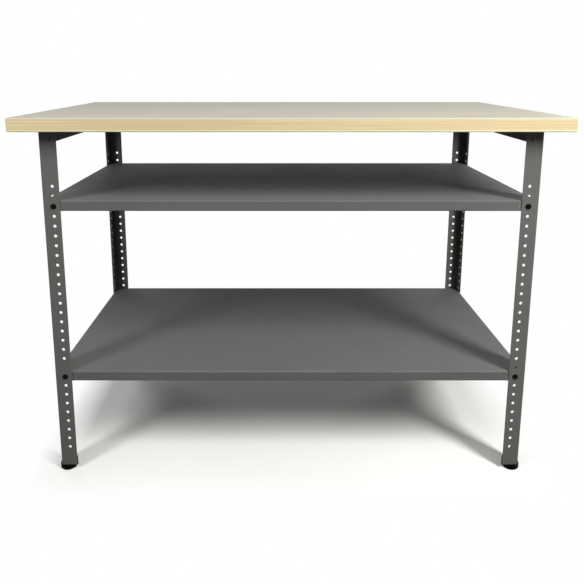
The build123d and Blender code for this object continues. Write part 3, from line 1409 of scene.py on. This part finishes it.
@dataclass
class Bolt(DomedScrew):
    """A domed M6 bolt with a hexagon socket and a thread."""

    head_radius: float = 6.25 * MM
    head_height: float = 3.0 * MM
    rim_height: float = 0.7 * MM
    crown_radius: float = 3.0 * MM
    foot_inset: float = 0.15 * MM
    shank_radius: float = 3.0 * MM
    length: float = 10.0 * MM
    points: int = 30
    dome_steps: int = 6
    socket_flat: float = 2.0 * MM
    socket_depth: float = 1.9 * MM
    socket_lead: float = 0.12 * MM
    drill_radius: float = 0.3 * MM
    drill_depth: float = 0.5 * MM
    thread_depth: float = 0.35 * MM
    thread_pitch: float = 1.0 * MM
    end_inset: float = 0.6 * MM

    def skin(self) -> Skin:
        """Builds the bolt.

        Returns:
            Its surface, from the bottom of its socket round to the end of its shank.
        """
        bottom = self.head_height - self.socket_depth
        rings = [
            circle(self.drill_radius, bottom - self.drill_depth, self.points),
            self._socket(bottom),
            self._socket(self.head_height - self.socket_lead),
            *self.head(),
        ]
        turns = int(self.length / self.thread_pitch) - 1
        for index in range(2 * turns):
            depth = self.thread_depth if index % 2 else 0.0
            low = -self.thread_pitch * (0.5 + index / 2)
            rings.append(circle(self.shank_radius - self.play - depth, low, self.points))
        rings.append(circle(self.shank_radius - self.end_inset, -self.length, self.points))
        return Skin.loft(rings)

    def _socket(self, height: float) -> List[Point]:
        """The hexagon's outline at one height, with as many points as the other rings."""
        flat = self.socket_flat
        return outline(lambda turn: hexagon_radius(turn, flat), lambda reach: height, self.points)


@dataclass
class Nut:
    """A hexagon nut with turned corners, its face on Z = 0 and its body below."""

    flat: float = 5.0 * MM
    height: float = 5.0 * MM
    bore_radius: float = 3.05 * MM
    countersink: float = 0.35 * MM
    face_share: float = 0.95
    corner_slope: float = 0.5
    points: int = 36

    def skin(self) -> Skin:
        """Builds the nut.

        Returns:
            Its surface, a closed band of rings.
        """
        face = self.flat * self.face_share
        mouth = self.bore_radius + self.countersink
        profile = ((self.bore_radius, self.countersink), (mouth, 0.0), (face, 0.0))
        rings = [circle(radius, -depth, self.points) for radius, depth in profile]
        rings.append(self._outline(face, 0.0, -1.0))
        rings.append(self._outline(face, -self.height, 1.0))
        for radius, depth in reversed(profile):
            rings.append(circle(radius, depth - self.height, self.points))
        return Skin.loft(rings, closed=True)

    def _outline(self, face: float, level: float, towards: float) -> List[Point]:
        """The hexagon's edge where the turned cone cuts it, lower at the corners.

        Args:
            face: Radius of the round face.
            level: Height of that face.
            towards: -1 below the upper face, 1 above the lower one.

        Returns:
            The ring's points.
        """
        return outline(
            lambda turn: hexagon_radius(turn, self.flat),
            lambda reach: level + towards * self.corner_slope * (reach - face),
            self.points,
        )


@dataclass
class WoodScrew(DomedScrew):
    """A pan-head screw with a cross recess and a point."""

    head_radius: float = 4.5 * MM
    head_height: float = 2.6 * MM
    rim_height: float = 1.0 * MM
    crown_radius: float = 2.9 * MM
    foot_inset: float = 0.2 * MM
    shank_radius: float = 2.25 * MM
    length: float = 20.0 * MM
    points: int = 40
    dome_steps: int = 4
    slot_length: float = 2.3 * MM
    slot_width: float = 0.55 * MM
    recess_depth: float = 1.6 * MM
    recess_lead: float = 0.1 * MM
    recess_taper: float = 0.45
    point_length: float = 4.0 * MM
    point_radius: float = 0.4 * MM
    least_sine: ClassVar[float] = 0.001

    def skin(self) -> Skin:
        """Builds the screw.

        Returns:
            Its surface, from the bottom of its recess round to its point.
        """
        shank = self.shank_radius - self.play
        rings = [
            self._cross(self.head_height - self.recess_depth, self.recess_taper),
            self._cross(self.head_height - self.recess_lead, 1.0),
            *self.head(),
            circle(shank, self.point_length - self.length, self.points),
            circle(self.point_radius, -self.length, self.points),
        ]
        return Skin.loft(rings)

    def _cross(self, height: float, share: float) -> List[Point]:
        """The recess's outline at one height.

        Args:
            height: Its Z.
            share: Its size against the outline at the top.

        Returns:
            The ring's points.
        """

        def reach_at(turn: float) -> float:
            """Distance to the cross's edge: an arm's end near its axis, else the arm's side."""
            sine = abs(math.sin((turn + math.pi / 4) % (math.pi / 2) - math.pi / 4))
            return share * min(self.slot_length, self.slot_width / max(sine, self.least_sine))

        return outline(reach_at, lambda reach: height, self.points)


@dataclass
class Fasteners:
    """All bolts, nuts and screws, each set in place of its packed group."""

    sizes: FrameSizes
    bolt: Bolt = field(default_factory=Bolt)
    nut: Nut = field(default_factory=Nut)
    screw: WoodScrew = field(default_factory=WoodScrew)

    def build(self, wardrobe: Wardrobe) -> None:
        """Makes each set.

        Args:
            wardrobe: The table's materials.
        """
        sheet, wall = self.sizes.shelf_sheet, self.sizes.wall
        grips = {"upper_shelf": sheet, "lower_shelf": sheet, "rail": wall}
        for group, behind in grips.items():
            low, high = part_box(f"{group}_bolts")
            seats = self._seats((low.z + high.z) / 2, group != "rail")
            bolts = self.bolt.skin().moved(seats).build(f"domed_{group}_bolts")
            self._finish(bolts, f"{group}_bolts", "black_bolt_steel", wardrobe)
            inward = Matrix.Translation((0.0, 0.0, -wall - behind))
            nuts = self.nut.skin().moved(seat @ inward for seat in seats)
            nuts_piece = nuts.build(f"hexagon_{group}_nuts")
            self._finish(nuts_piece, f"{group}_nuts", "bright_zinc", wardrobe)
        low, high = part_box("worktop_screws")
        flip = Matrix.Rotation(math.pi, 4, "X")
        inset = self.screw.head_radius
        under = low.z + self.screw.head_height
        places = [
            Matrix.Translation((x, y, under)) @ flip
            for x in (low.x + inset, high.x - inset)
            for y in (low.y + inset, high.y - inset)
        ]
        screws = self.screw.skin().moved(places).build("cross_worktop_screws")
        self._finish(screws, "worktop_screws", "bright_zinc", wardrobe)

    def _seats(self, height: float, with_front: bool) -> List[Matrix]:
        """Where a set of bolts sits, each seat with Z pointing out of the table.

        Args:
            height: The bolts' height.
            with_front: Whether the front and back flanges have bolts too.

        Returns:
            A matrix for each bolt.
        """
        far_x, far_y = self.sizes.corner_x, self.sizes.corner_y
        near_x, near_y = far_x - self.sizes.hole_line, far_y - self.sizes.hole_line
        seats = []
        for side_x, side_y, _ in CORNERS:
            turn = Matrix.Rotation(side_x * math.pi / 2, 4, "Y")
            seats.append(Matrix.Translation((side_x * far_x, side_y * near_y, height)) @ turn)
            if with_front:
                turn = Matrix.Rotation(-side_y * math.pi / 2, 4, "X")
                seats.append(Matrix.Translation((side_x * near_x, side_y * far_y, height)) @ turn)
        return seats

    @staticmethod
    def _finish(piece: bpy.types.Object, node: str, finish: str, wardrobe: Wardrobe) -> None:
        """Lets a set ride with the table, stand for its node and take its finish.

        Args:
            piece: The set's object.
            node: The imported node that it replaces.
            finish: The finish's name.
            wardrobe: The table's materials.
        """
        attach(piece, "root")
        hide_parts(node)
        wardrobe.dress(piece, finish)
        LOG.info("%s built", piece.name)


# --- Studio ------------------------------------------------------------------------------------


@dataclass(frozen=True)
class Lamp:
    """An upright soft light that looks at the table.

    Attributes:
        name: The lamp's name.
        place: Where its middle is.
        target: What it looks at.
        width: Its width.
        height: Its height.
        power: Its power in watts.
        tint: Colour of its light, linear.
    """

    name: str
    place: Point
    target: Point
    width: float
    height: float
    power: float
    tint: Colour = (1.0, 1.0, 1.0)

    def build(self) -> None:
        """Adds the lamp to the scene."""
        data = bpy.data.lights.new(self.name, "AREA")
        data.shape = "RECTANGLE"
        data.size = self.width
        data.size_y = self.height
        data.energy = self.power
        data.color = self.tint
        lamp = bpy.data.objects.new(self.name, data)
        lamp.location = self.place
        direction = Vector(self.target) - Vector(self.place)
        lamp.rotation_euler = direction.to_track_quat("-Z", "Y").to_euler()
        bpy.context.scene.collection.objects.link(lamp)


WARM_LIGHT: Colour = (1.0, 0.988, 0.965)
COOL_LIGHT: Colour = (0.98, 0.99, 1.0)
FRONT_AIM: Point = (0.0, 0.0, 0.4)
REAR_AIM: Point = (0.0, 0.0, 0.45)


@dataclass
class Studio:
    """White sweep, soft daylight and lamps."""

    daylight: float = 0.08
    floor_size: float = 24.0
    floor_drop: float = 0.2 * MM
    floor_tone: Colour = (0.97, 0.967, 0.94)
    floor_bounce: Colour = (0.12, 0.12, 0.12)
    floor_roughness: float = 0.9
    fade_from: Point = (0.53, 0.26, 0.0)
    fade_reach: float = 0.1
    lamps: Tuple[Lamp, ...] = (
        Lamp("right_softbox", (1.4, -1.4, 1.95), FRONT_AIM, 0.45, 1.1, 57.0, WARM_LIGHT),
        Lamp("left_softbox", (-1.5, -1.4, 1.9), FRONT_AIM, 0.4, 1.2, 23.0, COOL_LIGHT),
        Lamp("overhead_softbox", (0.0, -1.2, 2.5), FRONT_AIM, 1.6, 1.6, 9.0),
        Lamp("rear_left_softbox", (-2.2, 2.0, 0.9), REAR_AIM, 0.9, 0.9, 16.0),
        Lamp("rear_right_softbox", (2.2, 2.0, 0.9), REAR_AIM, 0.9, 0.9, 16.0),
    )

    def build(self) -> None:
        """Adds the world, the floor and the lamps, and sets the plain view transform."""
        bpy.context.scene.view_settings.view_transform = "Standard"
        self._world()
        self._floor()
        for lamp in self.lamps:
            lamp.build()
        LOG.info("studio built")

    @staticmethod
    def _seen(graph: Graph) -> Socket:
        """Tells what is looked at from what only lights the table.

        Args:
            graph: The graph of the world or of the floor.

        Returns:
            1 for rays from the camera and for those that mirror or pass through, 0 for others.
        """
        path = graph.node("ShaderNodeLightPath").outputs
        mirrored = graph.calc("MAXIMUM", path["Is Glossy Ray"], path["Is Transmission Ray"])
        return graph.calc("MAXIMUM", path["Is Camera Ray"], mirrored)

    def _world(self) -> None:
        """White where it is seen, and a plain level of daylight elsewhere."""
        world = bpy.data.worlds.new("studio")
        world.use_nodes = True
        bpy.context.scene.world = world
        graph = Graph(world.node_tree)
        background = world.node_tree.nodes["Background"]
        background.inputs["Color"].default_value = (1.0, 1.0, 1.0, 1.0)
        level = graph.remap(self._seen(graph), 0.0, 1.0, self.daylight, 1.0)
        graph.feed(background.inputs["Strength"], level)

    def _floor(self) -> None:
        """A white floor that keeps the table's shadow and is clear from below."""
        half = self.floor_size / 2
        skin = Skin()
        corners = ((-half, -half), (half, -half), (half, half), (-half, half))
        skin.face((x, y, -self.floor_drop) for x, y in corners)
        floor = skin.build("floor")
        material, graph, shader = new_material("white_floor", self.floor_roughness, 0.0)
        seen = self._seen(graph)
        tone = graph.blend(seen, self.floor_bounce, self.floor_tone)
        graph.feed(shader.inputs["Base Color"], tone)
        white = graph.node("ShaderNodeEmission").outputs[0]
        clear = graph.node("ShaderNodeBsdfTransparent").outputs[0]
        under = graph.node("ShaderNodeNewGeometry").outputs["Backfacing"]
        share = graph.calc("MULTIPLY", self._fade(graph), seen)
        faded = graph.mix(share, shader.outputs[0], white)
        sided = graph.mix(graph.calc("MULTIPLY", under, seen), faded, clear)
        graph.feed(material.node_tree.nodes["Material Output"].inputs["Surface"], sided)
        floor.data.materials.append(material)

    def _fade(self, graph: Graph) -> Socket:
        """How far the floor has faded into the white.

        Args:
            graph: The floor's graph.

        Returns:
            0 under the table, and rising to 1 over the fade's reach around it.
        """
        apart = graph.vector("ABSOLUTE", graph.place())[0]
        outside = graph.vector("SUBTRACT", apart, self.fade_from)[0]
        outside = graph.vector("MAXIMUM", outside, (0.0, 0.0, 0.0))[0]
        return graph.remap(graph.vector("LENGTH", outside)["Value"], 0.0, self.fade_reach)


@dataclass
class Viewpoint:
    """The camera: it stands in front of the board, a little above it, and looks slightly down."""

    place: Point = (-0.03, -1.494, 0.949)
    pitch: float = 10.0
    lens: float = 35.2
    shift_x: float = 0.025
    shift_y: float = -0.208
    clip_start: float = 0.01

    def build(self) -> None:
        """Adds the camera and makes it the scene's own."""
        data = bpy.data.cameras.new("viewpoint")
        data.lens = self.lens
        data.shift_x = self.shift_x
        data.shift_y = self.shift_y
        data.clip_start = self.clip_start
        camera = bpy.data.objects.new("viewpoint", data)
        camera.location = self.place
        camera.rotation_euler = (math.radians(90.0 - self.pitch), 0.0, 0.0)
        bpy.context.scene.collection.objects.link(camera)
        bpy.context.scene.camera = camera
        LOG.info("camera placed")


def main() -> None:
    """Builds the table's looks in order."""
    logging.basicConfig(level=logging.INFO, format="%(name)s: %(message)s")
    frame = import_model()
    nodes = frame["nodes"]
    Viewpoint().build()
    Studio().build()
    wardrobe = Wardrobe()
    sizes = FrameSizes.measure()
    for piece in packed_pieces():
        piece.build(nodes, wardrobe)
    PunchedLegs(sizes).build(wardrobe)
    Fasteners(sizes).build(wardrobe)


if __name__ == "__main__":
    main()
